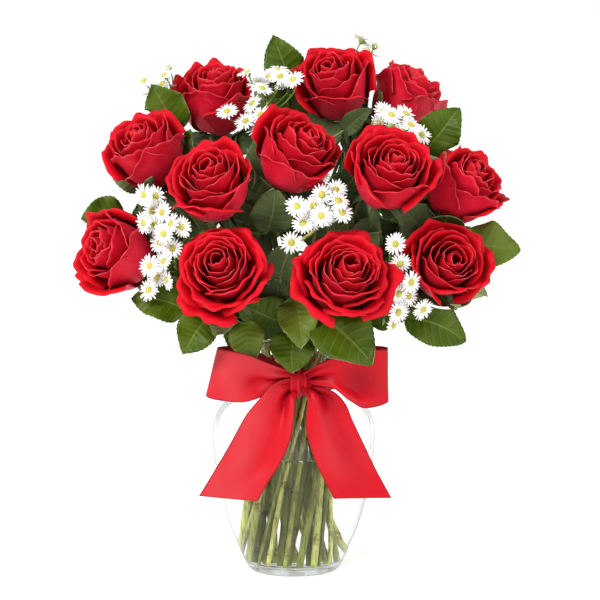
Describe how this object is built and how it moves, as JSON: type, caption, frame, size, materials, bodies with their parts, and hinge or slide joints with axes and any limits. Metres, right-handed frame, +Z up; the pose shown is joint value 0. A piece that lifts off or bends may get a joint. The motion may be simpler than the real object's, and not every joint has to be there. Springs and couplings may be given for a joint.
{
  "type": "roses in a vase",
  "caption": "Red roses with white asters and green leaves, standing in a clear glass ginger-jar vase of water with a red satin bow round its neck.",
  "frame": {"origin": "centre of the vase's flat underside, on the surface that it stands on", "axes": "+Z up along the vase's axis; the bow and the open blooms face -Y; +X is to the right of someone who looks at the bow"},
  "size_m": [0.3299, 0.2154, 0.4029],
  "materials": {
    "vase_glass": "clear blown glass, smooth and glossy",
    "water": "clear still water",
    "red_satin": "single-face satin ribbon with a fine rib, a soft sheen and woven edges",
    "rose_petal": "velvety petal, deeper red in the folds and lighter at the rolled lips",
    "rose_green": "green stem and serrated leaf with a dull waxy skin",
    "salal_green": "leathery leaf with a soft gloss and a net of veins",
    "aster_white": "white rays round a yellow-green middle on green stalks"
  },
  "bodies": {
    "root": {"vase": "vase_glass", "ribbon_bow": "red_satin", "rose_bloom_01": "rose_petal", "rose_bloom_02": "rose_petal", "rose_bloom_03": "rose_petal", "rose_bloom_04": "rose_petal", "rose_bloom_05": "rose_petal", "rose_bloom_06": "rose_petal", "rose_bloom_07": "rose_petal", "rose_bloom_08": "rose_petal", "rose_bloom_09": "rose_petal", "rose_bloom_10": "rose_petal", "rose_bloom_11": "rose_petal", "rose_bloom_12": "rose_petal", "rose_stem_01": "rose_green", "rose_stem_02": "rose_green", "rose_stem_03": "rose_green", "rose_stem_04": "rose_green", "rose_stem_05": "rose_green", "rose_stem_06": "rose_green", "rose_stem_07": "rose_green", "rose_stem_08": "rose_green", "rose_stem_09": "rose_green", "rose_stem_10": "rose_green", "rose_stem_11": "rose_green", "rose_stem_12": "rose_green", "salal_branch_01": "salal_green", "salal_branch_02": "salal_green", "salal_branch_03": "salal_green", "salal_branch_04": "salal_green", "salal_branch_05": "salal_green", "salal_branch_06": "salal_green", "salal_branch_07": "salal_green", "salal_branch_08": "salal_green", "salal_branch_09": "salal_green", "salal_branch_10": "salal_green", "aster_spray_01": "aster_white", "aster_spray_02": "aster_white", "aster_spray_03": "aster_white", "aster_spray_04": "aster_white", "aster_spray_05": "aster_white", "aster_spray_06": "aster_white", "aster_spray_07": "aster_white", "aster_spray_08": "aster_white", "water": "water"}
  },
  "joints": []
}
